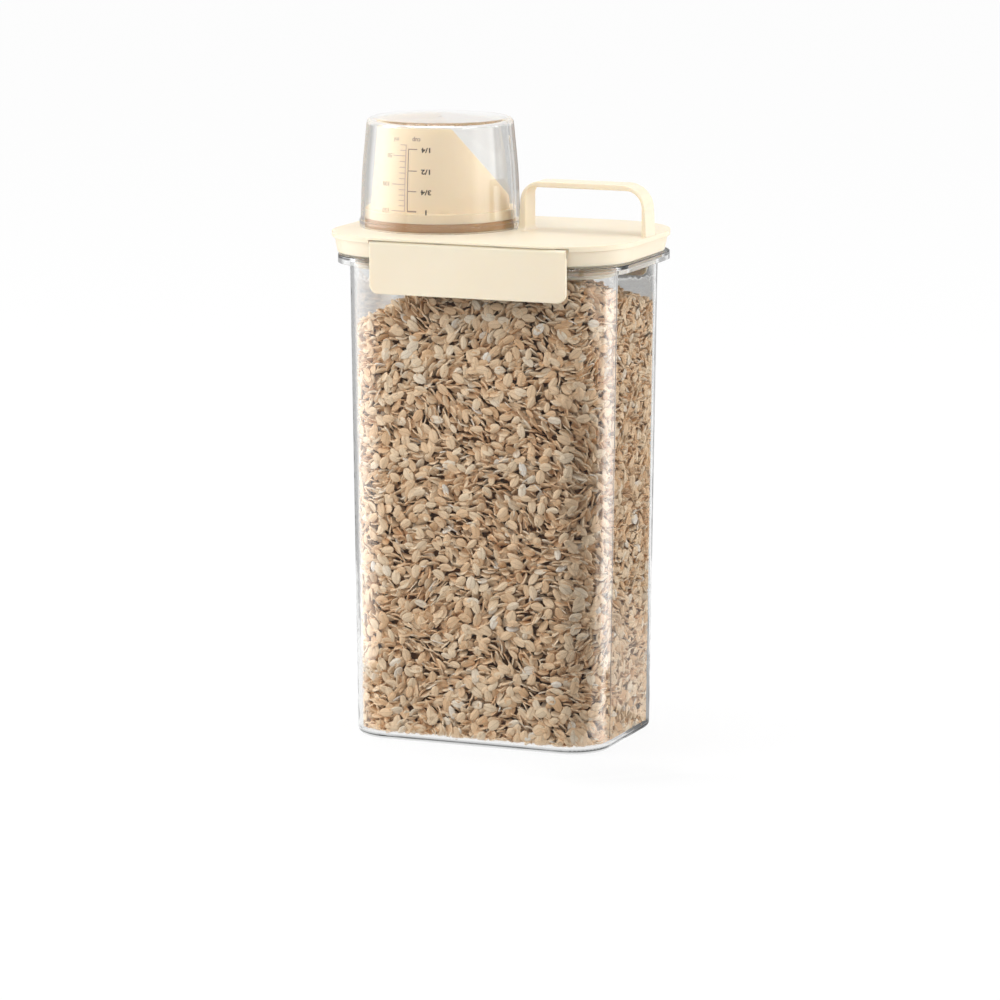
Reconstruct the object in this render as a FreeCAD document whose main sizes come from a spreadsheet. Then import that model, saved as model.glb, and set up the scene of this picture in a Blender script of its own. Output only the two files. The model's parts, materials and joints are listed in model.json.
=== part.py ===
"""Clear grain canister: snap lid with a carrying loop, pour spout and inverted measuring cup.

X runs along the long side, the spout at -X and the loop at +X. Y is the depth and Z is up.
The origin is the centre of the container's foot.
"""
import math
import os
import re

import FreeCAD
import Part
import Sketcher

SIZES = {
    # outline of the lid, which the container, the liner and the latches follow
    "lid_length": 151.6,
    "lid_width": 111.0,
    "lid_radius": 36.0,
    "lid_shift": -1.5,
    # container
    "rim_end_inset": 3.3,
    "rim_side_inset": 2.8,
    "rim_radius": 27.6,
    "rim_end_reach": 5.6,
    "rim_side_reach": 5.5,
    "mouth_radius": 22.3,
    "wall_draft": 2.95,
    "base_radius": 19.4,
    "container_height": 231.6,
    "container_wall": 1.8,
    "container_floor": 2.6,
    "foot_rounding": 3.0,
    "floor_rounding": 2.0,
    "rim_height": 3.9,
    "rim_plate": 1.9,
    "rim_lip": 1.6,
    "rim_rounding": 0.5,
    # lid cover
    "lid_height": 10.0,
    "lid_plate": 2.2,
    "lid_edge": 2.4,
    "lid_overhang": 1.2,
    "lid_border": 5.0,
    "lip_over_latch": 0.96,
    "border_drop": 0.5,
    "skirt_gap": 0.9,
    "skirt_inset": 2.6,
    "skirt_wall": 2.0,
    # carrying loop moulded on the lid
    "loop_depth": 13.0,
    "loop_height": 23.8,
    "loop_thickness": 2.8,
    "loop_cup_gap": 3.6,
    "loop_left_leg": 4.0,
    "loop_left_lean": 1.8,
    "loop_right_inset": 0.3,
    "loop_right_leg": 2.6,
    "loop_right_lean": 1.6,
    "loop_left_round": 10.0,
    "loop_right_round": 12.0,
    "loop_left_inner_round": 4.0,
    "loop_right_inner_round": 8.0,
    "loop_flare": 2.4,
    "loop_edge_round": 0.6,
    "loop_root": 1.2,
    # lid liner with its plug and gasket
    "liner_flange": 2.2,
    "liner_play": 0.1,
    "plug_gap": 1.4,
    "plug_wall": 1.8,
    "plug_depth": 6.0,
    "gasket_top": 1.4,
    "gasket_height": 2.8,
    "gasket_seat": 0.8,
    "gasket_rounding": 0.8,
    "gasket_play": 0.4,
    # pour spout
    "spout_inset": 44.6,
    "collar_radius": 35.8,
    "collar_step": 2.7,
    "spout_taper": 3.6,
    "spout_height": 49.0,
    "spout_wall": 1.8,
    "spout_neck_radius": 28.5,
    "spout_neck_play": 0.2,
    "collar_height": 9.0,
    "cut_turn": 28.0,
    "cut_tilt": 49.3,
    "cut_start": 2.2,
    "cut_depth": 41.0,
    "seal_level": 0.5,
    "seal_height": 4.1,
    "seal_seat": 0.9,
    "seal_stand": 0.2,
    "seal_rounding": 0.5,
    # measuring cup, standing upside down over the spout
    "cup_play": 0.7,
    "cup_waist_draft": 0.7,
    "cup_top_draft": 3.3,
    "cup_waist_level": 25.5,
    "cup_headroom": 1.0,
    "cup_wall": 1.5,
    "cup_base": 1.8,
    "cup_barrel_round": 300.0,
    "cup_top_round": 3.0,
    "cup_bead": 0.5,
    "cup_bead_height": 3.3,
    "cup_bead_round": 0.25,
    "cup_gate_radius": 0.9,
    "cup_gate_depth": 0.4,
    "cup_rib_level": 9.7,
    "cup_rib_depth": 0.6,
    "cup_rib_height": 1.4,
    "cup_rib_sweep": 7.0,
    "cup_rib_turn": 22.0,
    "cup_rib_count": 4,
    # snap latches
    "latch_inset": 26.65,
    "latch_shift": 3.2,
    "latch_drop": 25.0,
    "latch_plate": 2.2,
    "latch_corner": 4.3,
    "latch_edge_round": 0.6,
    "latch_play": 0.4,
    "barrel_radius": 1.9,
    "hinge_bar_radius": 0.9,
    "hinge_play": 0.05,
    "hinge_top_play": 0.15,
    "web_width": 2.5,
    "web_height": 1.2,
    "web_end_gap": 2.9,
    "web_count": 4,
    "latch_skin": 1.0,
    "clip_mouth": 1.4,
    "hook_reach": 1.5,
    "hook_gap": 0.3,
    "hook_tip": 0.8,
    "hook_height": 3.0,
    "hook_margin": 8.0,
}

RIM_LENGTH = "(lid_length - 2 * rim_end_inset)"
RIM_WIDTH = "(lid_width - 2 * rim_side_inset)"
MOUTH_LENGTH = f"({RIM_LENGTH} - 2 * rim_end_reach)"
MOUTH_WIDTH = f"({RIM_WIDTH} - 2 * rim_side_reach)"
BASE_LENGTH = f"({MOUTH_LENGTH} - 2 * wall_draft)"
BASE_WIDTH = f"({MOUTH_WIDTH} - 2 * wall_draft)"
MOUTH = (MOUTH_LENGTH, MOUTH_WIDTH, "mouth_radius")
BASE = (BASE_LENGTH, BASE_WIDTH, "base_radius")
CONTAINER_TOP = "container_height"
SKIRT_BOTTOM = "(container_height + skirt_gap)"
LID_TOP = f"({SKIRT_BOTTOM} + lid_height)"
LIP_TOP = f"({LID_TOP} - border_drop)"
LIP_BOTTOM = f"({LIP_TOP} - lid_edge)"
PLATE_BOTTOM = f"({LID_TOP} - lid_plate)"
PLUG_BOTTOM = "(container_height - plug_depth)"
RECESS_TOP = f"({LIP_TOP} - lip_over_latch)"
HINGE_LEVEL = f"({RECESS_TOP} - barrel_radius - hinge_top_play)"
HINGE_REACH = "(lid_width / 2 - barrel_radius)"
RECESS_WALL = f"({HINGE_REACH} - barrel_radius - latch_play)"
LATCH_BOTTOM = f"({HINGE_LEVEL} + barrel_radius - latch_drop)"
HOOK_TOP = "(container_height - rim_height - hook_gap)"
PLUG_LENGTH = f"({MOUTH_LENGTH} - 2 * container_wall - 2 * plug_gap)"
PLUG_WIDTH = f"({MOUTH_WIDTH} - 2 * container_wall - 2 * plug_gap)"
PLUG_RADIUS = "(mouth_radius - container_wall - plug_gap)"
SPOUT_X = "(lid_shift - lid_length / 2 + spout_inset)"
SPOUT_ROOT = "(collar_radius - collar_step)"
SPOUT_TOP = f"({SPOUT_ROOT} - spout_taper)"
CUP_RIM = "(collar_radius + cup_play + cup_wall)"
CUP_WAIST = f"({CUP_RIM} - cup_waist_draft)"
CUP_TOP = f"({CUP_RIM} - cup_top_draft)"
CUP_END = f"({LID_TOP} + spout_height + cup_headroom + cup_base)"
LOOP_LEFT = f"({SPOUT_X} + {CUP_RIM} + cup_bead + loop_cup_gap)"
LOOP_RIGHT = "(lid_shift + lid_length / 2 - loop_right_inset)"
LOOP_TOP = f"({LID_TOP} + loop_height)"
LATCH_LENGTH = "(lid_length - 2 * latch_inset)"
WEB_SPAN = f"({LATCH_LENGTH} - web_width - 2 * web_end_gap)"

FRONT = -1
REAR = 1

document = FreeCAD.newDocument("grain_canister")
sheet = document.addObject("Spreadsheet::Sheet", "Dims")


def fill_sheet():
    for row, (name, size) in enumerate(SIZES.items(), start=1):
        sheet.set(f"A{row}", name)
        sheet.set(f"B{row}", str(size))
        sheet.setAlias(f"B{row}", name)
    document.recompute()


def bound(text):
    """Turns size names into references to the sheet's cells."""
    return re.sub(r"[a-z_]+", lambda word: f"Dims.{word[0]}" if word[0] in SIZES else word[0], text)


def value(text):
    return float(sheet.evalExpression(bound(text)))


def bind(item, prop, text):
    item.setExpression(prop, bound(text))


# ---------------------------------------------------------------- bodies and sketches


def add_body(name):
    body = document.addObject("PartDesign::Body", name)
    body.Label = name
    return body


def add_sketch(body, name, plane, x="0", y="0", z="0", turn="0"):
    """Sketch on one of the body's origin planes, moved by x, y, z in that plane's own axes."""
    support = next(item for item in body.Origin.OriginFeatures if item.Role == plane)
    sketch = body.newObject("Sketcher::SketchObject", name)
    sketch.AttachmentSupport = (support, [""])
    sketch.MapMode = "FlatFace"
    axis = FreeCAD.Vector(0, 1, 0) if plane == "XZ_Plane" else FreeCAD.Vector(0, 0, 1)
    sketch.AttachmentOffset = FreeCAD.Placement(FreeCAD.Vector(), FreeCAD.Rotation(axis, 1))
    bind(sketch, "AttachmentOffset.Base.x", x)
    bind(sketch, "AttachmentOffset.Base.y", y)
    bind(sketch, "AttachmentOffset.Base.z", z)
    bind(sketch, "AttachmentOffset.Rotation.Angle", turn)
    return sketch


def constrain(sketch, text, kind, *where):
    """Adds one size constraint and binds it to the expression."""
    name = f"size{sketch.ConstraintCount}"
    index = sketch.addConstraint(Sketcher.Constraint(kind, *where, value(text)))
    sketch.renameConstraint(index, name)
    bind(sketch, f"Constraints.{name}", text)


def place_point(sketch, geometry, vertex, x, y):
    constrain(sketch, x, "DistanceX", -1, 1, geometry, vertex)
    constrain(sketch, y, "DistanceY", -1, 1, geometry, vertex)


def draw_circle(sketch, x, y, radius):
    centre = FreeCAD.Vector(value(x), value(y), 0)
    circle = sketch.addGeometry(Part.Circle(centre, FreeCAD.Vector(0, 0, 1), value(radius)))
    constrain(sketch, radius, "Radius", circle)
    place_point(sketch, circle, 3, x, y)


def corner_arc(point, before, after, radius):
    """Arc that rounds a corner, its start and end on the two sides, and its turning sense."""
    towards = (before - point).normalize()
    away = (after - point).normalize()
    half = towards.getAngle(away) / 2
    setback = radius / math.tan(half)
    centre = point + (towards + away).normalize() * (radius / math.sin(half))
    start = point + towards * setback
    end = point + away * setback
    left_turn = towards.cross(away).z < 0
    first, last = (start, end) if left_turn else (end, start)
    angles = [math.atan2(p.y - centre.y, p.x - centre.x) for p in (first, last)]
    circle = Part.Circle(centre, FreeCAD.Vector(0, 0, 1), radius)
    return Part.ArcOfCircle(circle, angles[0], angles[1]), start, end, left_turn


def draw_outline(sketch, corners):
    """Closed outline through corners (x, y, rounding), each an expression; "0" stays sharp."""
    points = [FreeCAD.Vector(value(x), value(y), 0) for x, y, rounding in corners]
    count = len(points)
    starts, ends, arcs = list(points), list(points), {}
    for index, (x, y, rounding) in enumerate(corners):
        if rounding == "0":
            continue
        before = points[index - 1]
        after = points[(index + 1) % count]
        arc, starts[index], ends[index], left_turn = corner_arc(points[index], before, after, value(rounding))
        arcs[index] = (sketch.addGeometry(arc), left_turn)
        constrain(sketch, rounding, "Radius", arcs[index][0])
    lines = [
        sketch.addGeometry(Part.LineSegment(ends[index], starts[(index + 1) % count]))
        for index in range(count)
    ]
    for index, (x, y, rounding) in enumerate(corners):
        incoming, outgoing = lines[index - 1], lines[index]
        if index in arcs:
            arc, left_turn = arcs[index]
            first, last = (1, 2) if left_turn else (2, 1)
            sketch.addConstraint(Sketcher.Constraint("Tangent", incoming, 2, arc, first))
            sketch.addConstraint(Sketcher.Constraint("Tangent", arc, last, outgoing, 1))
            marker = sketch.addGeometry(Part.Point(points[index]), True)
            place_point(sketch, marker, 1, x, y)
            sketch.addConstraint(Sketcher.Constraint("PointOnObject", marker, 1, incoming))
            sketch.addConstraint(Sketcher.Constraint("PointOnObject", marker, 1, outgoing))
        else:
            sketch.addConstraint(Sketcher.Constraint("Coincident", incoming, 2, outgoing, 1))
            place_point(sketch, outgoing, 1, x, y)


def draw_rounded_rectangle(sketch, length, width, radius):
    half_x, half_y = f"({length}) / 2", f"({width}) / 2"
    draw_outline(sketch, [
        (f"-{half_x}", f"-{half_y}", radius),
        (half_x, f"-{half_y}", radius),
        (half_x, half_y, radius),
        (f"-{half_x}", half_y, radius),
    ])


def draw_box(sketch, left, right, bottom, top):
    corners = ((left, bottom), (right, bottom), (right, top), (left, top))
    draw_outline(sketch, [(x, y, "0") for x, y in corners])


# ---------------------------------------------------------------- features


def add_feature(body, kind, name, profile):
    feature = body.newObject(f"PartDesign::{kind}", name)
    feature.Profile = profile
    profile.Visibility = False
    return feature


def extrude(body, kind, name, sketch, length, reverse=False, middle=False):
    feature = add_feature(body, kind, name, sketch)
    bind(feature, "Length", length)
    feature.Reversed = reverse
    if middle:
        feature.SideType = "Symmetric"
    return feature


def loft(body, kind, name, lower, upper):
    feature = add_feature(body, kind, name, lower)
    feature.Sections = [upper]
    upper.Visibility = False
    return feature


def revolve(body, kind, name, sketch, sweep="360"):
    """Turns the profile about the sketch's own vertical axis."""
    feature = add_feature(body, kind, name, sketch)
    feature.ReferenceAxis = (sketch, ["V_Axis"])
    bind(feature, "Angle", sweep)
    return feature


def repeat_along(body, name, feature, sketch):
    """Repeats a feature at each of the hinge bar's webs, along the sketch's horizontal axis."""
    document.recompute()
    pattern = body.newObject("PartDesign::LinearPattern", name)
    pattern.Originals = [feature]
    pattern.Direction = (sketch, ["H_Axis"])
    bind(pattern, "Length", WEB_SPAN)
    bind(pattern, "Occurrences", "web_count")
    body.Tip = pattern
    document.recompute()


def round_edges(body, name, radius, chosen):
    """Fillets the edges of the body's tip that the test picks."""
    document.recompute()
    base = body.Tip
    edges = [f"Edge{number}" for number, edge in enumerate(base.Shape.Edges, start=1) if chosen(edge)]
    feature = body.newObject("PartDesign::Fillet", name)
    feature.Base = (base, edges)
    bind(feature, "Radius", radius)
    return feature


def lies_at(edge, height):
    return abs(edge.BoundBox.ZMin - height) < 1e-4 and abs(edge.BoundBox.ZMax - height) < 1e-4


def rounded_sketch(body, name, height, length, width, radius, x="0"):
    sketch = add_sketch(body, name, "XY_Plane", x=x, z=height)
    draw_rounded_rectangle(sketch, length, width, radius)
    return sketch


# ---------------------------------------------------------------- container


def container_section(body, name, end, height, inset="0"):
    """Outline of the drafted walls at one end, base or mouth, moved inwards by inset."""
    length, width, radius = end
    return rounded_sketch(
        body, name, height, f"{length} - 2 * {inset}", f"{width} - 2 * {inset}", f"{radius} - {inset}")


def build_container():
    body = add_body("container")
    foot = container_section(body, "foot_outline", BASE, "0")
    mouth = container_section(body, "mouth_outline", MOUTH, CONTAINER_TOP)
    loft(body, "AdditiveLoft", "walls", foot, mouth)

    flange = rounded_sketch(
        body, "rim_outline", "container_height - rim_height", RIM_LENGTH, RIM_WIDTH, "rim_radius")
    extrude(body, "Pad", "rim", flange, "rim_height")

    floor = container_section(body, "floor_outline", BASE, "container_floor", "container_wall")
    opening = container_section(body, "opening_outline", MOUTH, CONTAINER_TOP, "container_wall")
    loft(body, "SubtractiveLoft", "cavity", floor, opening)

    channel = rounded_sketch(
        body, "channel_outline", "container_height - rim_height",
        f"{RIM_LENGTH} - 2 * rim_lip", f"{RIM_WIDTH} - 2 * rim_lip", "rim_radius - rim_lip")
    draw_rounded_rectangle(channel, *MOUTH)
    extrude(body, "Pocket", "rim_channel", channel, "rim_height - rim_plate", reverse=True)

    round_edges(body, "foot_round", "foot_rounding", lambda edge: lies_at(edge, 0))
    round_edges(body, "floor_round", "floor_rounding", lambda edge: lies_at(edge, value("container_floor")))
    round_edges(body, "rim_round", "rim_rounding", lambda edge: lies_at(edge, value(CONTAINER_TOP)))
    return body


# ---------------------------------------------------------------- lid cover


def lid_section(body, name, height, inset):
    sizes = [f"lid_length - 2 * ({inset})", f"lid_width - 2 * ({inset})", f"lid_radius - ({inset})"]
    return rounded_sketch(body, name, height, *sizes, x="lid_shift")


def add_lid_shell(body):
    skirt_foot = lid_section(body, "skirt_foot", SKIRT_BOTTOM, "skirt_inset")
    skirt_head = lid_section(body, "skirt_head", LIP_BOTTOM, "lid_overhang")
    loft(body, "AdditiveLoft", "skirt", skirt_foot, skirt_head)
    extrude(body, "Pad", "lip", lid_section(body, "lip_outline", LIP_BOTTOM, "0"), "lid_edge")
    border = lid_section(body, "border_outline", LIP_TOP, "0")
    plateau = lid_section(body, "plateau_outline", LID_TOP, "lid_border")
    loft(body, "AdditiveLoft", "border", border, plateau)

    cavity = rounded_sketch(
        body, "lid_cavity_outline", SKIRT_BOTTOM, "lid_length - 2 * (skirt_inset + skirt_wall)",
        f"2 * ({RECESS_WALL} - skirt_wall)", "lid_radius - skirt_inset - 2 * skirt_wall", x="lid_shift")
    extrude(body, "Pocket", "lid_cavity", cavity, f"{PLATE_BOTTOM} - {SKIRT_BOTTOM}", reverse=True)

    hole = add_sketch(body, "spout_hole_outline", "XY_Plane", x=SPOUT_X, z=SKIRT_BOTTOM)
    draw_circle(hole, "0", "0", "spout_neck_radius + spout_neck_play")
    extrude(body, "Pocket", "spout_hole", hole, "lid_height", reverse=True)


def add_latch_seats(body):
    """Recesses in the front and rear skirt, each with a round hinge bar on short webs."""
    recess = add_sketch(body, "latch_recess_outline", "XY_Plane", x="latch_shift", z=SKIRT_BOTTOM)
    half = f"({LATCH_LENGTH} / 2 + latch_play)"
    for side in (FRONT, REAR):
        draw_box(recess, f"-{half}", half, f"{side} * {RECESS_WALL}", f"{side} * lid_width")
    extrude(body, "Pocket", "latch_recesses", recess, f"{RECESS_TOP} - {SKIRT_BOTTOM}", reverse=True)

    bar_length = f"({WEB_SPAN} + web_width)"
    bars = add_sketch(body, "hinge_bar_outline", "YZ_Plane", z=f"latch_shift - {bar_length} / 2")
    webs = add_sketch(body, "web_outline", "XY_Plane", x=f"latch_shift - {WEB_SPAN} / 2", z=HINGE_LEVEL)
    for side in (FRONT, REAR):
        draw_circle(bars, f"{side} * {HINGE_REACH}", HINGE_LEVEL, "hinge_bar_radius")
        draw_box(
            webs, "-web_width / 2", "web_width / 2",
            f"{side} * ({RECESS_WALL} - skirt_wall / 2)", f"{side} * {HINGE_REACH}")
    first_webs = extrude(body, "Pad", "hinge_webs", webs, "web_height", middle=True)
    repeat_along(body, "hinge_web_row", first_webs, webs)
    extrude(body, "Pad", "hinge_bars", bars, bar_length)


def add_carrying_loop(body):
    """Strap with two feet, drawn from the side and rounded along its edges."""
    root = f"({LID_TOP} - loop_root)"
    inner_top = f"({LOOP_TOP} - loop_thickness)"
    inner_left = f"({LOOP_LEFT} + loop_left_leg)"
    inner_right = f"({LOOP_RIGHT} - loop_right_leg)"
    profile = add_sketch(body, "loop_outline", "XZ_Plane")
    draw_outline(profile, [
        (LOOP_LEFT, root, "0"),
        (f"{LOOP_LEFT} + loop_left_lean", LOOP_TOP, "loop_left_round"),
        (f"{LOOP_RIGHT} - loop_right_lean", LOOP_TOP, "loop_right_round"),
        (LOOP_RIGHT, root, "0"),
        (inner_right, root, "0"),
        (inner_right, inner_top, "loop_right_inner_round"),
        (inner_left, inner_top, "loop_left_inner_round"),
        (inner_left, root, "0"),
    ])
    extrude(body, "Pad", "loop", profile, "loop_depth", middle=True)

    half = value("loop_depth / 2")
    low = value(LID_TOP)

    def on_strap_edge(edge):
        box = edge.BoundBox
        beside = abs(box.YMin - box.YMax) < 1e-4 and abs(abs(box.YMin) - half) < 1e-4
        return beside and box.ZMax > low + 1

    def around_left_foot(edge):
        box = edge.BoundBox
        between = box.XMin > value(LOOP_LEFT) - 1 and box.XMax < value(inner_left) + 1
        return lies_at(edge, low) and between and box.YMin > -half - 1 and box.YMax < half + 1

    round_edges(body, "loop_round", "loop_edge_round", on_strap_edge)
    round_edges(body, "loop_foot_round", "loop_flare", around_left_foot)


def build_lid_cover():
    body = add_body("lid_cover")
    add_lid_shell(body)
    add_latch_seats(body)
    add_carrying_loop(body)
    return body


# ---------------------------------------------------------------- liner and gasket


def build_lid_liner():
    body = add_body("lid_liner")
    flange = rounded_sketch(
        body, "flange_outline", CONTAINER_TOP, "lid_length - 2 * (skirt_inset + skirt_wall + liner_play)",
        f"2 * ({RECESS_WALL} - skirt_wall - liner_play)",
        "lid_radius - skirt_inset - 2 * skirt_wall - liner_play", x="lid_shift")
    extrude(body, "Pad", "flange", flange, "liner_flange")

    plug = rounded_sketch(body, "plug_outline", PLUG_BOTTOM, PLUG_LENGTH, PLUG_WIDTH, PLUG_RADIUS)
    extrude(body, "Pad", "plug", plug, "plug_depth")
    tray = rounded_sketch(
        body, "tray_outline", PLUG_BOTTOM, f"{PLUG_LENGTH} - 2 * plug_wall",
        f"{PLUG_WIDTH} - 2 * plug_wall", f"{PLUG_RADIUS} - plug_wall")
    extrude(body, "Pocket", "tray", tray, "plug_depth", reverse=True)

    groove = rounded_sketch(
        body, "groove_outline", "container_height - gasket_top - gasket_height", PLUG_LENGTH, PLUG_WIDTH,
        PLUG_RADIUS)
    draw_rounded_rectangle(
        groove, f"{PLUG_LENGTH} - 2 * gasket_seat", f"{PLUG_WIDTH} - 2 * gasket_seat",
        f"{PLUG_RADIUS} - gasket_seat")
    extrude(body, "Pocket", "gasket_groove", groove, "gasket_height", reverse=True)

    hole = add_sketch(body, "liner_hole_outline", "XY_Plane", x=SPOUT_X, z=PLUG_BOTTOM)
    draw_circle(hole, "0", "0", "spout_neck_radius + spout_neck_play")
    extrude(body, "Pocket", "liner_hole", hole, "plug_depth + liner_flange", reverse=True)
    return body


def build_lid_gasket():
    body = add_body("lid_gasket")
    level = "container_height - gasket_top - gasket_height"
    grow = "2 * (plug_gap - gasket_play)"
    ring = rounded_sketch(
        body, "gasket_outline", level, f"{PLUG_LENGTH} + {grow}", f"{PLUG_WIDTH} + {grow}",
        f"{PLUG_RADIUS} + {grow} / 2")
    draw_rounded_rectangle(
        ring, f"{PLUG_LENGTH} - 2 * gasket_seat", f"{PLUG_WIDTH} - 2 * gasket_seat",
        f"{PLUG_RADIUS} - gasket_seat")
    extrude(body, "Pad", "gasket", ring, "gasket_height")
    reach = value(f"{PLUG_WIDTH} / 2")
    round_edges(
        body, "gasket_round", "gasket_rounding",
        lambda edge: lies_at(edge, edge.BoundBox.ZMin) and on_outer_loop(edge, reach))
    return body


def on_outer_loop(edge, reach):
    """True for edges outside the plug's outline: its long sides, its ends or its corners."""
    box = edge.BoundBox
    far_y = max(abs(box.YMin), abs(box.YMax)) > reach
    far_x = min(abs(box.XMin), abs(box.XMax)) > value(f"{PLUG_LENGTH} / 2")
    return far_y or far_x


# ---------------------------------------------------------------- pour spout and its seal


def build_pour_spout():
    body = add_body("pour_spout")
    seal_low = f"({LID_TOP} + seal_level)"
    profile = add_sketch(body, "spout_profile", "XZ_Plane", x=SPOUT_X)
    draw_outline(profile, [
        ("spout_neck_radius - spout_wall", PLUG_BOTTOM, "0"),
        ("spout_neck_radius", PLUG_BOTTOM, "0"),
        ("spout_neck_radius", LID_TOP, "0"),
        ("collar_radius", LID_TOP, "0"),
        ("collar_radius", seal_low, "0"),
        ("collar_radius - seal_seat", seal_low, "0"),
        ("collar_radius - seal_seat", f"{seal_low} + seal_height", "0"),
        ("collar_radius", f"{seal_low} + seal_height", "0"),
        ("collar_radius", f"{LID_TOP} + collar_height", "0"),
        (SPOUT_ROOT, f"{LID_TOP} + collar_height", "0"),
        (SPOUT_TOP, f"{LID_TOP} + spout_height", "0"),
        (f"{SPOUT_TOP} - spout_wall", f"{LID_TOP} + spout_height", "0"),
        (f"{SPOUT_ROOT} - spout_wall", f"{LID_TOP} + collar_height", "0"),
        (f"{SPOUT_ROOT} - spout_wall", f"{LID_TOP} + spout_wall", "spout_wall"),
        ("spout_neck_radius - spout_wall", f"{LID_TOP} + spout_wall", "spout_wall"),
    ])
    revolve(body, "Revolution", "tube", profile)

    cut = add_sketch(body, "cut_outline", "XZ_Plane", x=SPOUT_X, turn="cut_turn")
    top = f"({LID_TOP} + spout_height)"
    foot_x = "(cut_start + cut_depth / tan(cut_tilt))"
    far = "(cut_start + 2 * collar_radius)"
    draw_outline(cut, [
        ("cut_start", top, "0"),
        (foot_x, f"{top} - cut_depth", "0"),
        (far, f"{top} - cut_depth", "0"),
        (far, f"{top} + spout_wall", "0"),
        ("cut_start", f"{top} + spout_wall", "0"),
    ])
    extrude(body, "Pocket", "slanted_cut", cut, "4 * collar_radius", middle=True)
    return body


def build_spout_seal():
    body = add_body("spout_seal")
    low = f"({LID_TOP} + seal_level)"
    profile = add_sketch(body, "seal_profile", "XZ_Plane", x=SPOUT_X)
    outer = "(collar_radius + seal_stand)"
    draw_outline(profile, [
        ("collar_radius - seal_seat", low, "0"),
        (outer, low, "seal_rounding"),
        (outer, f"{low} + seal_height", "seal_rounding"),
        ("collar_radius - seal_seat", f"{low} + seal_height", "0"),
    ])
    revolve(body, "Revolution", "seal", profile)
    return body


# ---------------------------------------------------------------- measuring cup


def build_measuring_cup():
    """The cup stands with its rim on the lid, so its closed end is the top."""
    body = add_body("measuring_cup")
    rim = LID_TOP
    waist = f"({LID_TOP} + cup_waist_level)"
    bead_top = f"({LID_TOP} + cup_bead_height)"
    profile = add_sketch(body, "cup_profile", "XZ_Plane", x=SPOUT_X)
    draw_outline(profile, [
        (f"{CUP_RIM} - cup_wall", rim, "0"),
        (f"{CUP_RIM} + cup_bead", rim, "cup_bead_round"),
        (f"{CUP_RIM} + cup_bead", bead_top, "cup_bead_round"),
        (CUP_RIM, bead_top, "0"),
        (CUP_WAIST, waist, "cup_barrel_round"),
        (CUP_TOP, CUP_END, "cup_top_round"),
        ("0", CUP_END, "0"),
        ("0", f"{CUP_END} - cup_base", "0"),
        (f"{CUP_TOP} - cup_wall", f"{CUP_END} - cup_base", "cup_top_round - cup_wall"),
        (f"{CUP_WAIST} - cup_wall", waist, "cup_barrel_round"),
    ])
    revolve(body, "Revolution", "cup", profile)
    gate = add_sketch(body, "gate_outline", "XY_Plane", x=SPOUT_X, z=f"{CUP_END} - cup_gate_depth")
    draw_circle(gate, "0", "0", "cup_gate_radius")
    extrude(body, "Pocket", "gate_dimple", gate, "cup_gate_depth", reverse=True)

    rib = add_sketch(body, "rib_profile", "XZ_Plane", x=SPOUT_X, turn="cup_rib_turn")
    inside = f"({CUP_RIM} - cup_wall)"
    draw_box(
        rib, f"{inside} - cup_rib_depth", f"{inside} + cup_wall / 2",
        f"{LID_TOP} + cup_rib_level", f"{LID_TOP} + cup_rib_level + cup_rib_height")
    first_rib = revolve(body, "Revolution", "stop_rib", rib, sweep="cup_rib_sweep")
    document.recompute()
    ring = body.newObject("PartDesign::PolarPattern", "stop_rib_ring")
    ring.Originals = [first_rib]
    ring.Axis = (rib, ["V_Axis"])
    ring.Angle = 360
    bind(ring, "Occurrences", "cup_rib_count")
    body.Tip = ring
    document.recompute()
    return body


# ---------------------------------------------------------------- snap latches


def add_latch_plate(body, side):
    """Plate with two rounded lower corners, its outer edges softened."""
    half = f"{LATCH_LENGTH} / 2"
    outline = add_sketch(body, "plate_outline", "XZ_Plane", x="latch_shift", z=f"-({side} * lid_width / 2)")
    draw_outline(outline, [
        (f"-{half}", LATCH_BOTTOM, "latch_corner"),
        (half, LATCH_BOTTOM, "latch_corner"),
        (half, HINGE_LEVEL, "0"),
        (f"-{half}", HINGE_LEVEL, "0"),
    ])
    extrude(body, "Pad", "plate", outline, "latch_plate", reverse=(side == FRONT))
    middle, reach = value(f"{LATCH_BOTTOM} + latch_drop / 2"), value("lid_width / 2")

    def on_outer_edge(edge):
        box = edge.BoundBox
        outside = abs(abs(box.YMin) - reach) < 1e-4 and abs(abs(box.YMax) - reach) < 1e-4
        return outside and box.ZMin < middle

    round_edges(body, "plate_round", "latch_edge_round", on_outer_edge)


def add_hook(body, side, start):
    """Bead across the inner face, flat on top and sloping below so that it rides over the rim."""
    hook = add_sketch(body, "hook_outline", "YZ_Plane", z=f"{start} + hook_margin")
    tip = f"{side} * ({RIM_WIDTH} / 2 - hook_reach)"
    face = f"{side} * (lid_width / 2 - latch_plate)"
    root = f"{side} * (lid_width / 2 - latch_plate / 2)"
    draw_outline(hook, [
        (root, HOOK_TOP, "0"),
        (tip, HOOK_TOP, "0"),
        (tip, f"{HOOK_TOP} - hook_tip", "0"),
        (face, f"{HOOK_TOP} - hook_height", "0"),
        (root, f"{HOOK_TOP} - hook_height", "0"),
    ])
    extrude(body, "Pad", "hook", hook, f"{LATCH_LENGTH} - 2 * hook_margin")


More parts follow.
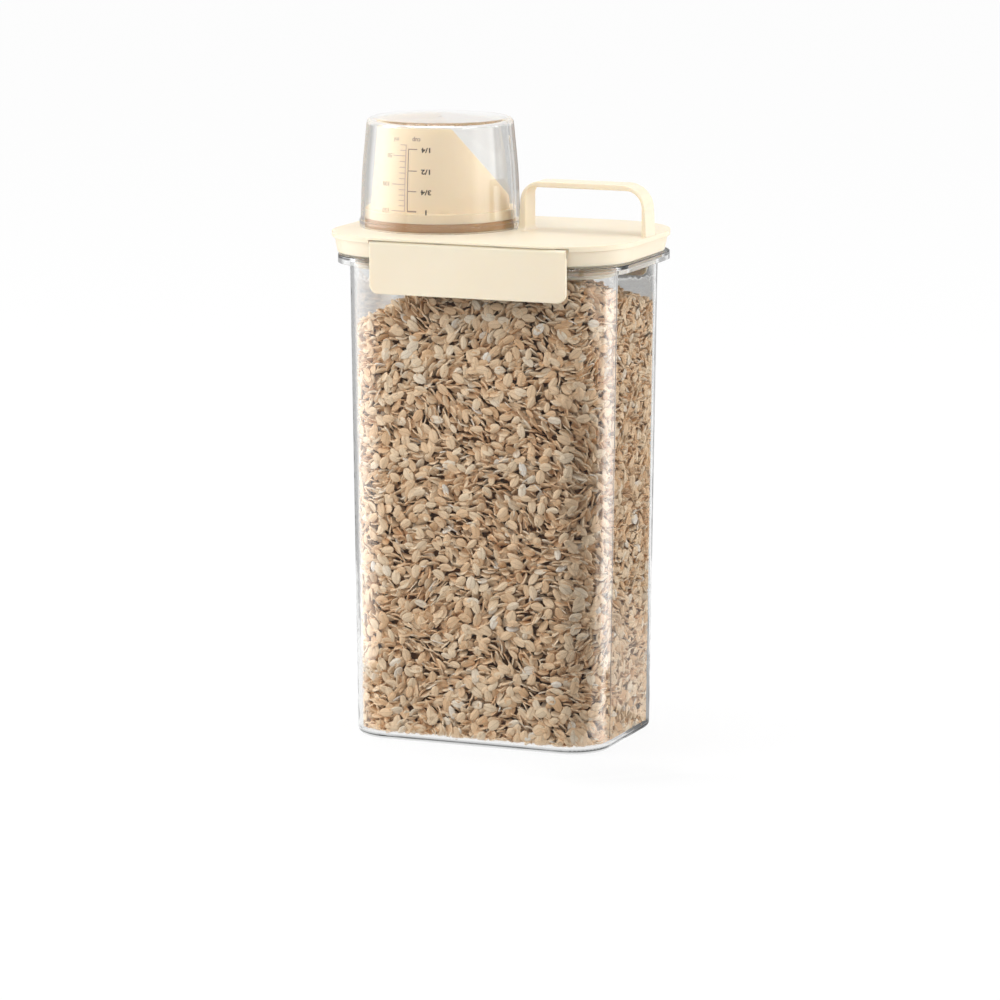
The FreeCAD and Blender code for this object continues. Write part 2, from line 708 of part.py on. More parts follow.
def add_barrel(body, side, start):
    """Round barrel along the top, bored for the lid's hinge bar, with a mouth to snap on through."""
    axis = f"{side} * {HINGE_REACH}"
    barrel = add_sketch(body, "barrel_outline", "YZ_Plane", z=start)
    draw_circle(barrel, axis, HINGE_LEVEL, "barrel_radius")
    extrude(body, "Pad", "barrel", barrel, LATCH_LENGTH)
    bore = add_sketch(body, "bore_outline", "YZ_Plane", z=start)
    draw_circle(bore, axis, HINGE_LEVEL, "hinge_bar_radius + hinge_play")
    extrude(body, "Pocket", "bore", bore, LATCH_LENGTH, reverse=True)
    mouth = add_sketch(body, "clip_mouth_outline", "YZ_Plane", z=start)
    draw_box(
        mouth, f"{side} * ({HINGE_REACH} - 2 * barrel_radius)", axis,
        f"{HINGE_LEVEL} - clip_mouth / 2", f"{HINGE_LEVEL} + clip_mouth / 2")
    extrude(body, "Pocket", "clip_mouth_cut", mouth, LATCH_LENGTH, reverse=True)


def add_web_notches(body, side):
    """Leaves only a thin outer skin where the lid's webs and the ends of its hinge bar stand."""
    level = f"{HINGE_LEVEL} - barrel_radius - latch_play"
    height = "2 * (barrel_radius + latch_play)"
    skin = f"{side} * (lid_width / 2 - latch_skin)"
    back = f"{side} * ({HINGE_REACH} - 2 * barrel_radius)"
    wide = "(web_width / 2 + latch_play)"
    ends = add_sketch(body, "end_notch_outline", "XY_Plane", x="latch_shift", z=level)
    for sign in (-1, 1):
        draw_box(
            ends, f"{sign} * ({WEB_SPAN} / 2 - {wide})", f"{sign} * ({LATCH_LENGTH} / 2 + latch_play)",
            back, skin)
    extrude(body, "Pocket", "end_notches", ends, height, reverse=True)
    notch = add_sketch(body, "notch_outline", "XY_Plane", x=f"latch_shift - {WEB_SPAN} / 2", z=level)
    draw_box(notch, f"-{wide}", wide, back, skin)
    first = extrude(body, "Pocket", "web_notch", notch, height, reverse=True)
    repeat_along(body, "web_notch_row", first, notch)


def build_latch(name, side):
    """Flap that hangs from the lid's hinge bar and snaps under the container's rim."""
    body = add_body(name)
    start = f"latch_shift - {LATCH_LENGTH} / 2"
    add_latch_plate(body, side)
    add_hook(body, side, start)
    add_barrel(body, side, start)
    add_web_notches(body, side)
    return body


# ---------------------------------------------------------------- build, check and write


def check(bodies):
    document.recompute()
    for item in document.Objects:
        if "Invalid" in item.State or "Error" in item.State:
            raise RuntimeError(f"{item.Name} ({item.Label}) failed: {item.State}")
    for body in bodies:
        shape = body.Shape
        if shape.isNull() or not shape.isValid() or len(shape.Solids) != 1:
            raise RuntimeError(f"{body.Label} has no single valid solid")


def build():
    fill_sheet()
    bodies = [
        build_container(),
        build_lid_cover(),
        build_lid_liner(),
        build_lid_gasket(),
        build_pour_spout(),
        build_spout_seal(),
        build_measuring_cup(),
        build_latch("front_latch", FRONT),
        build_latch("rear_latch", REAR),
    ]
    check(bodies)
    os.makedirs("parts", exist_ok=True)
    for body in bodies:
        body.Shape.exportStep(f"parts/{body.Label}.step")


build()
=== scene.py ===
import json
import math
import random

import bmesh
import bpy
from mathutils import Matrix, Vector, noise
from mathutils.bvhtree import BVHTree

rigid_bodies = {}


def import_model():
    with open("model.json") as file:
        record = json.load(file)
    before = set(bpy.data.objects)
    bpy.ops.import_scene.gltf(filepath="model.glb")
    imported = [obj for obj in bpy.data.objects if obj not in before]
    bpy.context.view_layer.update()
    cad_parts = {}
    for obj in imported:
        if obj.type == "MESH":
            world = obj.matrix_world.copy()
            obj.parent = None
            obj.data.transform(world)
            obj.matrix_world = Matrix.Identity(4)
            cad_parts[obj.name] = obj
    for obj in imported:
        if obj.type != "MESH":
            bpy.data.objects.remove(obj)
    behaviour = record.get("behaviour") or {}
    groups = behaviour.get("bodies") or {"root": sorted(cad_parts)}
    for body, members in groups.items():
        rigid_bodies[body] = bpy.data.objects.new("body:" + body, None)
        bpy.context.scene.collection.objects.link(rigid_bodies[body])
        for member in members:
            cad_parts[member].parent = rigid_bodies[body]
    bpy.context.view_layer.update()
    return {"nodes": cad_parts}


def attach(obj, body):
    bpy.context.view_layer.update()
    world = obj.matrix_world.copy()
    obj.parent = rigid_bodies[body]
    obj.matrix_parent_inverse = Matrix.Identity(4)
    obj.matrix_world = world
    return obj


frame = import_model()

MM = 0.001

# ---------------------------------------------------------------- camera
# A long lens from the front, a little to the right and a little above, so that the tall walls
# stay almost parallel and the lid's top just shows.
CAMERA_AZIMUTH = math.radians(21.82)
CAMERA_ELEVATION = math.radians(10.05)
CAMERA_DISTANCE = 2377.2 * MM
CAMERA_TARGET = Vector((-2.18, 0, 111.63)) * MM
SENSOR_WIDTH, FOCAL_LENGTH = 36, 178.91
CLIP_NEAR, CLIP_FAR = 0.1, 20

towards_camera = Vector((
    math.sin(CAMERA_AZIMUTH) * math.cos(CAMERA_ELEVATION),
    -math.cos(CAMERA_AZIMUTH) * math.cos(CAMERA_ELEVATION),
    math.sin(CAMERA_ELEVATION),
))
lens = bpy.data.cameras.new("camera")
lens.sensor_width, lens.lens = SENSOR_WIDTH, FOCAL_LENGTH
lens.clip_start, lens.clip_end = CLIP_NEAR, CLIP_FAR
camera = bpy.data.objects.new("camera", lens)
camera.location = CAMERA_TARGET + towards_camera * CAMERA_DISTANCE
camera.rotation_mode = "QUATERNION"
camera.rotation_quaternion = (-towards_camera).to_track_quat("-Z", "Y")
bpy.context.scene.collection.objects.link(camera)
bpy.context.scene.camera = camera

# ---------------------------------------------------------------- container
# Injection-moulded clear styrene-acrylonitrile tub with drafted walls and a folded rim flange.
# It is glass-clear and glossy, with the faint flow waves that a hot mould leaves in thin walls.


def linear(colour):
    """An sRGB hex colour as the linear values that shaders take."""
    parts = [int(colour[i:i + 2], 16) / 255 for i in (1, 3, 5)]
    return [c / 12.92 if c <= 0.04045 else ((c + 0.055) / 1.055) ** 2.4 for c in parts] + [1.0]


def add_node(tree, kind, inputs=None, **settings):
    """Adds a shader node, sets it, and links or fills its inputs."""
    node = tree.nodes.new("ShaderNode" + kind)
    for name, setting in settings.items():
        setattr(node, name, setting)
    for name, source in (inputs or {}).items():
        if isinstance(source, bpy.types.NodeSocket):
            tree.links.new(source, node.inputs[name])
        else:
            node.inputs[name].default_value = source
    return node


def new_material(name):
    material = bpy.data.materials.new(name)
    material.use_nodes = True
    material.node_tree.nodes.clear()
    return material, material.node_tree


def speckle(tree, size, detail):
    """Noise in the piece's own coordinates, its spots about size across."""
    place = add_node(tree, "TexCoord").outputs["Object"]
    return add_node(tree, "TexNoise", {"Vector": place, "Scale": 1 / size, "Detail": detail}).outputs["Fac"]


SAN_IOR = 1.57


def clear_plastic(name, wave_size, wave_height, reflections):
    """Clear moulded plastic whose flow waves are wave_size across; lamps reach through it.

    It takes a little light on each millimetre, so its edges look greyer than its walls. Light that
    has been reflected more often than `reflections` goes straight on and leaves it.
    """
    material, tree = new_material(name)
    ripple = add_node(tree, "Bump", {
        "Height": speckle(tree, wave_size, 1.0), "Strength": 1.0, "Distance": wave_height})
    plastic = add_node(tree, "BsdfPrincipled", {
        "Base Color": linear("#FDFDFC"), "Roughness": 0.02, "IOR": SAN_IOR,
        "Transmission Weight": 1.0, "Normal": ripple.outputs["Normal"]})
    let_through = add_node(tree, "BsdfTransparent", {"Color": linear("#FFFFFF")})
    path = add_node(tree, "LightPath")
    trapped = add_node(tree, "Math", {0: path.outputs["Glossy Depth"], 1: reflections + 0.5},
                       operation="GREATER_THAN")
    leaving = add_node(tree, "MixShader", {
        0: trapped.outputs["Value"], 1: plastic.outputs["BSDF"], 2: let_through.outputs["BSDF"]})
    mix = add_node(tree, "MixShader", {
        0: path.outputs["Is Shadow Ray"], 1: leaving.outputs["Shader"], 2: let_through.outputs["BSDF"]})
    inside = add_node(tree, "VolumeAbsorption", {"Color": linear("#8F9192"), "Density": 20.0})
    add_node(tree, "OutputMaterial", {"Surface": mix.outputs["Shader"], "Volume": inside.outputs["Volume"]})
    return material


def dress(node_name, material):
    """Gives a CAD node its material."""
    piece = frame["nodes"][node_name]
    piece.data.materials.clear()
    piece.data.materials.append(material)


container_clear = clear_plastic("clear_moulded_san", 30 * MM, 0.02 * MM, reflections=64)
dress("container", container_clear)

# ---------------------------------------------------------------- rolled oats
# The canister is full of rolled oats: thin oval flakes, pressed from the steamed grain, with the
# grain's crease along the middle. They lie against the walls and floor and slope down to the left.
CAVITY_FLOOR, CAVITY_TOP = 2.6, 231.6
FLOOR_OUTLINE = (124.3, 84.9, 17.6)
MOUTH_OUTLINE = (130.2, 90.8, 20.5)
OATS_CEILING = 225.2
HEAP_LINE = (
    (-66, 193), (-60, 199), (-52, 204), (-44, 208), (-36, 211.5), (-29, 214.5), (0, 221), (46, 224.5),
    (66, 221.5))
HEAP_UNEVEN, HEAP_PATCH = 1.6, 11
# Towards the right wall the heap falls away from front to back, from FALL_START on.
RIGHT_WALL_FALL, FALL_START, FALL_RUN, FALL_FRONT = 0.19, 10, 40, -44
FLAKE_GAP, CORNER_GAP = 0.3, 0.45
chance = random.Random(2024)


def between(low, high, share):
    return low + (high - low) * share


def cavity_outline(height):
    """Length, width and corner radius of the inner walls at a height."""
    share = (height - CAVITY_FLOOR) / (CAVITY_TOP - CAVITY_FLOOR)
    return [between(low, high, share) for low, high in zip(FLOOR_OUTLINE, MOUTH_OUTLINE)]


def wall_place(along, height):
    """Point on the inner wall and its outward normal; along runs from 0 to 1 round the wall."""
    length, width, radius = cavity_outline(height)
    straight_x, straight_y = length - 2 * radius, width - 2 * radius
    arc = math.pi / 2 * radius
    rest = along * 2 * (straight_x + straight_y + 2 * arc)
    for turn, straight in enumerate((straight_x, straight_y, straight_x, straight_y)):
        facing = -math.pi / 2 + turn * math.pi / 2
        normal = Vector((math.cos(facing), math.sin(facing), 0))
        side = Vector((-normal.y, normal.x, 0))
        reach = (width if turn % 2 == 0 else length) / 2
        if rest <= straight:
            return normal * reach + side * (rest - straight / 2) + Vector((0, 0, height)), normal, False
        rest -= straight
        if rest <= arc:
            angle = facing + rest / radius
            centre = normal * (reach - radius) + side * (straight / 2)
            normal = Vector((math.cos(angle), math.sin(angle), 0))
            return centre + normal * radius + Vector((0, 0, height)), normal, True
        rest -= arc
    return wall_place(0, height)


def heap_height(x, y):
    """Height of the oats' surface, uneven by a flake or so."""
    for (x0, z0), (x1, z1) in zip(HEAP_LINE, HEAP_LINE[1:]):
        if x <= x1:
            level = between(z0, z1, max(0, (x - x0) / (x1 - x0)))
            break
    else:
        level = HEAP_LINE[-1][1]
    fall = RIGHT_WALL_FALL * (y - FALL_FRONT) * max(0, min(1, (x - FALL_START) / FALL_RUN))
    return level - fall + HEAP_UNEVEN * noise.noise(Vector((x, y, 0)) / HEAP_PATCH)


FLAKE_SEGMENTS, FLAKE_RINGS = 10, 4
FACE_SPREAD = 1.2
FLAKE_RAGGED, FLAKE_TAPER = 0.10, 0.5
CREASE_THICK = 0.5
HALF_FLAT = 0.42


def flake_mesh(length, width, thick, curl):
    """One closed flake round the origin, its crease along X on both faces.

    It starts as a ball: the middle rings are spread out and cut level, which leaves two flat faces
    with a thin edge, and then the ends are lifted and the sides lowered by the curl.
    """
    shape = bmesh.new()
    across = shape.verts.layers.float.new("across")
    bmesh.ops.create_uvsphere(shape, u_segments=FLAKE_SEGMENTS, v_segments=FLAKE_RINGS, radius=0.5)
    for vertex in shape.verts:
        x, y, z = vertex.co
        reach = math.hypot(x, y) * 2
        spread = FACE_SPREAD if 0.3 < reach < 0.9 else 1.0
        crease = abs(y) < 0.05 and abs(x) < 0.4
        ragged = 1 + FLAKE_RAGGED * noise.noise(Vector((x * 5 + length * 3, y * 5, width)))
        taper = 1 - FLAKE_TAPER * x * x
        vertex[across] = y * 2 * spread
        vertex.co = (
            x * length * ragged * spread, y * width * ragged * spread * taper,
            max(-HALF_FLAT, min(HALF_FLAT, z * 1.2)) * thick * (CREASE_THICK if crease else 1.0)
            + curl * (x * x * 4) - 0.5 * curl * (y * y * 4))
    return shape


# Length, width, thickness and curl of each kind of flake.
FLAKE_SIZES = (
    (7.2, 4.6, 0.75, 0.4), (7.8, 4.3, 0.7, -0.45), (6.2, 4.4, 0.8, 0.25), (7.0, 3.5, 0.85, 0.5),
    (7.4, 5.0, 0.7, -0.35), (5.6, 3.4, 0.8, 0.3), (6.8, 4.0, 0.7, 0.6), (5.9, 4.4, 0.8, -0.25))
# Leans from the wall: mean and spread in degrees, for the flakes that lie flat on it and for the rest.
FLAKE_FLAT_SHARE, FLAT_LEAN, STEEP_LEAN = 0.27, (14, 14), (65, 11)
# Neighbours lean much the same way, drifting over a patch; some lean the other way about.
DRIFT_PATCH, DRIFT_TURN, TURN_SPREAD, OTHER_WAY_SHARE = 24, 2.2, 0.35, 0.3
WALL_ROUND = 395


def as_mesh(shape, name):
    mesh = bpy.data.meshes.new(name)
    shape.to_mesh(mesh)
    shape.free()
    return mesh


flake_meshes = [as_mesh(flake_mesh(*size), "flake") for size in FLAKE_SIZES]


def add_piece(mesh, name, body, material, smooth=True):
    """Links a finished mesh as a piece that rides on a body."""
    mesh.name = name
    mesh.materials.append(material)
    if smooth:
        mesh.shade_smooth()
    else:
        mesh.shade_flat()
    piece = bpy.data.objects.new(name, mesh)
    bpy.context.scene.collection.objects.link(piece)
    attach(piece, body)


def reach_of(turned, kind, direction):
    """How far a flake of that kind and turn reaches from its middle along a direction."""
    length, width, thick, curl = FLAKE_SIZES[kind]
    local = turned.transposed() @ direction
    halves = (length / 2, width / 2, thick / 2 + abs(curl) / 2)
    return math.sqrt(sum((half * part) ** 2 for half, part in zip(halves, local)))


def turned_flake(facing, lean, way):
    """A turn that puts the flake's flat face towards a direction, leaning the given way."""
    spin = Matrix.Rotation(chance.uniform(0, 2 * math.pi), 3, "Z")
    tilt = Matrix.Rotation(math.radians(lean), 3, "X")
    lean_way = Matrix.Rotation(way, 3, "Z")
    return facing.to_track_quat("Z", "Y").to_matrix() @ lean_way @ tilt @ spin


def ramp(tree, share, stops):
    """A colour ramp through its stops, each a position and a linear colour."""
    node = add_node(tree, "ValToRGB", {"Fac": share})
    elements = node.color_ramp.elements
    while len(elements) < len(stops):
        elements.new(0.5)
    for element, (position, colour) in zip(elements, stops):
        element.position, element.color = position, colour
    return node.outputs["Color"]


def blend(tree, share, first, second):
    """Mixes two colours, each a hex colour or a socket; inputs 6 and 7 are the node's colours."""
    first, second = (linear(colour) if isinstance(colour, str) else colour for colour in (first, second))
    return add_node(tree, "Mix", {"Factor": share, 6: first, 7: second}, data_type="RGBA").outputs[2]


def oat_material():
    """Steamed and rolled oat: matt and floury, with a fine brown crease down the middle."""
    material, tree = new_material("rolled_oats")
    stops = ((0.0, "#EBC092"), (0.25, "#FDDBB3"), (0.85, "#FFE8C8"), (0.97, "#FFF1DC"), (1.0, "#FFF9F0"))
    island = add_node(tree, "NewGeometry").outputs["Random Per Island"]
    tone = ramp(tree, island, [(position, linear(colour)) for position, colour in stops])
    flour = speckle(tree, 1.1 * MM, 3.0)
    flour_share = add_node(tree, "MapRange", {
        "Value": flour, "From Min": 0.42, "From Max": 0.75, "To Max": 0.2})
    mottled = blend(tree, flour_share.outputs["Result"], tone, "#CBA274")
    across = add_node(tree, "Attribute", attribute_name="across").outputs["Fac"]
    from_crease = add_node(tree, "Math", {0: across}, operation="ABSOLUTE")
    crease = add_node(tree, "MapRange", {
        "Value": from_crease.outputs["Value"], "From Min": 0.02, "From Max": 0.17,
        "To Min": 0.28, "To Max": 0.0})
    edge = add_node(tree, "MapRange", {
        "Value": from_crease.outputs["Value"], "From Min": 0.8, "From Max": 1.0, "To Max": 0.15})
    bran = add_node(tree, "Math", {
        0: crease.outputs["Result"], 1: edge.outputs["Result"]}, operation="MAXIMUM")
    grain = add_node(tree, "Bump", {"Height": flour, "Strength": 0.5, "Distance": 0.12 * MM})
    skin = add_node(tree, "BsdfPrincipled", {
        "Base Color": blend(tree, bran.outputs["Value"], mottled, "#B08553"),
        "Roughness": 0.7, "Normal": grain.outputs["Normal"]})
    add_node(tree, "OutputMaterial", {"Surface": skin.outputs["BSDF"]})
    return material


oats_finish = oat_material()


def pile_flakes(name, places):
    """One piece of many flakes, each a copy turned and put in its place."""
    pile = bmesh.new()
    for middle, turned, kind in places:
        flake = flake_meshes[kind].copy()
        flake.transform(Matrix.Translation(middle) @ turned.to_4x4())
        pile.from_mesh(flake, face_normals=False, vertex_normals=False)
        bpy.data.meshes.remove(flake)
    bmesh.ops.scale(pile, vec=(MM, MM, MM), verts=pile.verts)
    add_piece(as_mesh(pile, name), name, "container", oats_finish)


def wall_flakes(first, last, depth, spacing):
    """Flakes whose edges or faces touch the wall, or that lie depth behind those."""
    columns, rows = round(WALL_ROUND / spacing), round((OATS_CEILING - CAVITY_FLOOR) / spacing)
    places = []
    for column in range(round(first * columns), round(last * columns)):
        for row in range(-1, rows):
            along = (column + chance.uniform(-0.4, 0.4)) / columns % 1
            height = CAVITY_FLOOR + (row + chance.uniform(0.1, 0.9)) * spacing
            kind = chance.randrange(len(FLAKE_SIZES))
            wall, normal, curved = wall_place(along, height)
            drift = noise.noise(Vector((along * WALL_ROUND, height, 7)) / DRIFT_PATCH)
            way = DRIFT_TURN * drift + chance.gauss(0, TURN_SPREAD)
            way += math.pi if chance.random() < OTHER_WAY_SHARE else 0
            lean = chance.gauss(*(FLAT_LEAN if chance.random() < FLAKE_FLAT_SHARE else STEEP_LEAN))
            turned = turned_flake(normal, lean, way)
            inwards = reach_of(turned, kind, normal)
            upwards = reach_of(turned, kind, Vector((0, 0, 1)))
            back = inwards + FLAKE_GAP + (CORNER_GAP if curved else 0) + depth * chance.uniform(0.6, 1.2)
            middle = wall - normal * back
            low = CAVITY_FLOOR + upwards + FLAKE_GAP
            high = min(OATS_CEILING - upwards, heap_height(middle.x, middle.y) - 0.4 * upwards)
            if middle.z < low:
                middle.z = low
            if middle.z <= high:
                places.append((middle, turned, kind))
    return places


WALL_MARGIN = 4.8
LYING_LEAN = 24


def level_flakes(level, spacing, depth, up):
    """Flakes that lie within depth under a level (up 1) or over it (up -1)."""
    places = []
    length, width, radius = FLOOR_OUTLINE if up < 0 else MOUTH_OUTLINE
    for column in range(round(length / spacing)):
        for row in range(round(width / spacing)):
            x = (column + chance.random()) * spacing - length / 2
            y = (row + chance.random()) * spacing - width / 2
            over_x, over_y = abs(x) - (length / 2 - radius), abs(y) - (width / 2 - radius)
            if math.hypot(max(over_x, 0), max(over_y, 0)) > radius - WALL_MARGIN:
                continue
            kind = chance.randrange(len(FLAKE_SIZES))
            lean, way = chance.gauss(0, LYING_LEAN), chance.uniform(0, 2 * math.pi)
            turned = turned_flake(Vector((0, 0, 1)), lean, way)
            upwards = reach_of(turned, kind, Vector((0, 0, 1)))
            z = level(x, y) - up * (depth + upwards + (FLAKE_GAP if up < 0 else 0))
            z = min(z, OATS_CEILING - upwards)
            places.append((Vector((x, y, z)), turned, kind))
    return places


def floor_level(x, y):
    return CAVITY_FLOOR


# Where each wall starts and ends on the way round, and the depth and spacing of its two layers.
SIDES = (("front", 0, 0.3), ("right", 0.3, 0.5), ("rear", 0.5, 0.8), ("left", 0.8, 1.0))
LAYERS = (("", 0, 3.15), ("_behind", 2.8, 3.7))
for side, first, last in SIDES:
    for layer, depth, spacing in LAYERS:
        pile_flakes(f"oats_{side}{layer}", wall_flakes(first, last, depth, spacing))
pile_flakes("oats_top", level_flakes(heap_height, 4.2, 0, 1) + level_flakes(heap_height, 4.6, 3, 1))
pile_flakes("oats_floor", level_flakes(floor_level, 4.4, 0, -1) + level_flakes(floor_level, 5.0, 2.4, -1))

# The inside of the heap is never seen: one dark mass stands for it behind the outer flakes.
CORE_DEPTH, CORE_GAP = 6.5, 6
core_length, core_width, core_round = FLOOR_OUTLINE
core = bmesh.new()
bmesh.ops.create_cube(core, size=1)
bmesh.ops.scale(core, vec=(core_length - 2 * CORE_DEPTH, core_width - 2 * CORE_DEPTH, 1), verts=core.verts)
upright = [edge for edge in core.edges if abs(edge.verts[0].co.z - edge.verts[1].co.z) > 0.5]
bmesh.ops.bevel(
    core, geom=upright, offset=core_round - CORE_DEPTH, offset_type="OFFSET", segments=5, profile=0.5,
    affect="EDGES", material=-1)
bmesh.ops.subdivide_edges(core, edges=core.edges, cuts=7, use_grid_fill=True)
for vertex in core.verts:
    x, y, z = vertex.co
    height = between(CAVITY_FLOOR + CORE_GAP, heap_height(x, y) - CORE_GAP, z + 0.5)
    widened = [outer / floor for outer, floor in zip(cavity_outline(height), FLOOR_OUTLINE)]
    vertex.co = Vector((x * widened[0], y * widened[1], height)) * MM
shade, tree = new_material("shadow_between_oats")
dark = blend(tree, speckle(tree, 3 * MM, 2.0), "#5E3C1F", "#9A6E3E")
skin = add_node(tree, "BsdfPrincipled", {"Base Color": dark, "Roughness": 0.9})
add_node(tree, "OutputMaterial", {"Surface": skin.outputs["BSDF"]})
add_piece(as_mesh(core, "oats_core"), "oats_core", "container", shade)

# ---------------------------------------------------------------- lid cover, liner and latches
# Injection-moulded polypropylene coloured right through: opaque cream, satin, with a very fine
# spark-eroded texture. The cover, the liner and both snap latches share it; the spout has a tanner, darker
# copy whose extra depth of tone is painted shade for its place inside the cup.


MATTEST, GLOSSIEST = 0.47, 0.38
EDGE_ROUND = 0.35 * MM


def cream_plastic(name, colour, deeper):
    """Satin cream polypropylene with its moulded edges softened."""
    material, tree = new_material(name)
    cloud = speckle(tree, 45 * MM, 2.0)
    matt = add_node(tree, "MapRange", {"Value": cloud, "To Min": GLOSSIEST, "To Max": MATTEST})
    soft = add_node(tree, "Bevel", {"Radius": EDGE_ROUND}, samples=4)
    texture = add_node(tree, "Bump", {
        "Height": speckle(tree, 0.35 * MM, 2.0), "Strength": 0.25, "Distance": 0.02 * MM,
        "Normal": soft.outputs["Normal"]})
    plastic = add_node(tree, "BsdfPrincipled", {
        "Base Color": blend(tree, cloud, colour, deeper), "Roughness": matt.outputs["Result"], "IOR": 1.49,
        "Subsurface Weight": 0.3, "Subsurface Scale": 3 * MM,
        "Subsurface Radius": (1.0, 0.7, 0.4), "Normal": texture.outputs["Normal"]})
    add_node(tree, "OutputMaterial", {"Surface": plastic.outputs["BSDF"]})
    return material


cream = cream_plastic("cream_moulded_pp", "#E7DCC7", "#E2D4BA")
# The spout's own copy is tanner and darker: painted shade for its place inside the cup.
spout_cream_painted_shade = cream_plastic("cream_moulded_pp_spout_painted_shade", "#EFDDBF", "#E9D3AF")
for node_name in ("lid_cover", "lid_liner", "front_latch", "rear_latch"):
    dress(node_name, cream)
dress("pour_spout", spout_cream_painted_shade)

# ---------------------------------------------------------------- gasket and spout seal
# Two moulded silicone rings, stretched into their grooves: soft and slightly waxy. Their colours are
# painted shade: the spout seal's tan stands for the dark gap under the cup's rim, the gasket's paler sand
# for the shade under the lid's skirt.


def moulded_silicone(name, colour, deeper):
    """Soft matt silicone, its colour slightly clouded."""
    material, tree = new_material(name)
    tint = blend(tree, speckle(tree, 6 * MM, 2.0), colour, deeper)
    rubber = add_node(tree, "BsdfPrincipled", {
        "Base Color": tint, "Roughness": 0.5, "IOR": 1.41,
        "Subsurface Weight": 0.2, "Subsurface Scale": 1 * MM})
    add_node(tree, "OutputMaterial", {"Surface": rubber.outputs["BSDF"]})
    return material


# Painted shade: the tan and sand colours stand for the shade in the gaps round the two rings.
dress("spout_seal", moulded_silicone("silicone_tan_painted_shade", "#B68750", "#A2733D"))
dress("lid_gasket", moulded_silicone("silicone_sand_painted_shade", "#DDBF96", "#D0AE80"))

# ---------------------------------------------------------------- measuring cup
# Clear moulded styrene-acrylonitrile beaker, turned over on the spout. Its measures are pad-printed
# on the outside, so they stand on their heads while the cup is the spout's cap.
cup_clear = clear_plastic("clear_cup_san", 24 * MM, 0.015 * MM, reflections=1)
dress("measuring_cup", cup_clear)

CUP_AXIS = Vector((-32.7, 0, 0))
PRINT_RADIUS, OUTSIDE_CUP = 37.0, 60
INK_LIFT, INK_THICK = 0.01, 0.03
CAPITAL_SHARE = 0.73
cup_shape = bmesh.new()
cup_shape.from_mesh(frame["nodes"]["measuring_cup"].data)
cup_surface = BVHTree.FromBMesh(cup_shape)
cup_shape.free()


def on_cup(angle, height, lift):
    """The point at an angle and height on the cup's outside, lifted off it, in metres."""
    outward = Vector((math.cos(angle), math.sin(angle), 0))
    start = (CUP_AXIS + Vector((0, 0, height)) + outward * OUTSIDE_CUP) * MM
    hit = cup_surface.ray_cast(start, -outward)[0]
    return hit + outward * lift * MM


def add_ink_line(ink, centre_x, centre_z, size_x, size_z, cuts):
    """A flat printed bar, in millimetres round the cup and up it."""
    bar = bmesh.ops.create_cube(ink, size=1)["verts"]
    bmesh.ops.scale(ink, vec=(size_x, size_z, INK_THICK), verts=bar)
    bmesh.ops.translate(ink, vec=(centre_x, centre_z, INK_THICK / 2), verts=bar)
    longest = 0 if size_x > size_z else 1
    edges = {
        edge for corner in bar for edge in corner.link_edges
        if abs(edge.verts[0].co[longest] - edge.verts[1].co[longest]) > 0.9 * max(size_x, size_z)}
    bmesh.ops.subdivide_edges(ink, edges=list(edges), cuts=cuts, use_grid_fill=True)


def add_ink_text(ink, words, centre_x, centre_z, height, weight, stretch=1.0):
    """Printed figures, upside down as they stand while the cup is the cap."""
    letters = bpy.data.curves.new("figures", "FONT")
    letters.body, letters.size = words, height / CAPITAL_SHARE
    letters.align_x, letters.align_y = "CENTER", "CENTER"
    letters.extrude, letters.offset = INK_THICK / 2, weight
    letters.resolution_u = 2
    holder = bpy.data.objects.new("figures", letters)
    flat = bpy.data.meshes.new_from_object(holder)
    flat.transform(
        Matrix.Translation((centre_x, centre_z, INK_THICK / 2)) @ Matrix.Rotation(math.pi, 4, "Z")
        @ Matrix.Diagonal((stretch, 1, 1, 1)))
    ink.from_mesh(flat)
    for used, where in ((holder, bpy.data.objects), (letters, bpy.data.curves), (flat, bpy.data.meshes)):
        where.remove(used)


def finish_ink(ink, name, start_angle, colours):
    """Wraps the flat print round the cup and gives it its ink, screened in two colours."""
    for vertex in ink.verts:
        x, z, lift = vertex.co
        vertex.co = on_cup(start_angle + x / PRINT_RADIUS, z, INK_LIFT + lift)
    bmesh.ops.recalc_face_normals(ink, faces=ink.faces)
    material, tree = new_material(name)
    shade = blend(tree, speckle(tree, 0.5 * MM, 1.0), *colours)
    skin = add_node(tree, "BsdfPrincipled", {"Base Color": shade, "Roughness": 0.55})
    add_node(tree, "OutputMaterial", {"Surface": skin.outputs["BSDF"]})
    add_piece(as_mesh(ink, name), name, "measuring_cup", material, smooth=False)


# Millilitres stand left of their line, fractions of a cup right of theirs.
ML_LINE, CUP_LINE = math.radians(-94.0), math.radians(-91.8)
ML_LEVELS = {30: 284.1, 50: 279.0, 100: 265.6, 150: 253.1}
ML_FIGURES = {50: -9.2, 100: -10.6, 150: -10.6}
CUP_LEVELS = {"1/4": 282.2, "1/2": 272.1, "3/4": 262.5, "1": 253.1}
LINE_WIDE, TICK_THICK, LAST_TICK_THICK = 0.45, 0.35, 0.7
LONG_TICK, SHORT_TICK, CUP_TICK = 7.0, 3.2, 4.4
FIGURE_HEIGHT, UNIT_LEVEL = 2.2, 286.5
ML_WEIGHT, UNIT_WEIGHT, CUP_WEIGHT, CUP_STRETCH = 0.03, 0.05, 0.11, 1.25


def ml_level(volume):
    """Height of a volume's tick, evenly spaced between the numbered ones."""
    marks = sorted(ML_LEVELS)
    upper = next(m for m in marks[1:] if m >= volume)
    lower = marks[marks.index(upper) - 1]
    return between(ML_LEVELS[lower], ML_LEVELS[upper], (volume - lower) / (upper - lower))


def add_spine(ink, levels, over):
    """The upright line that joins a scale's first mark and its last, and is over longer."""
    top, bottom = max(levels.values()), min(levels.values())
    add_ink_line(ink, 0, (top + bottom) / 2, LINE_WIDE, top - bottom + over, 15)


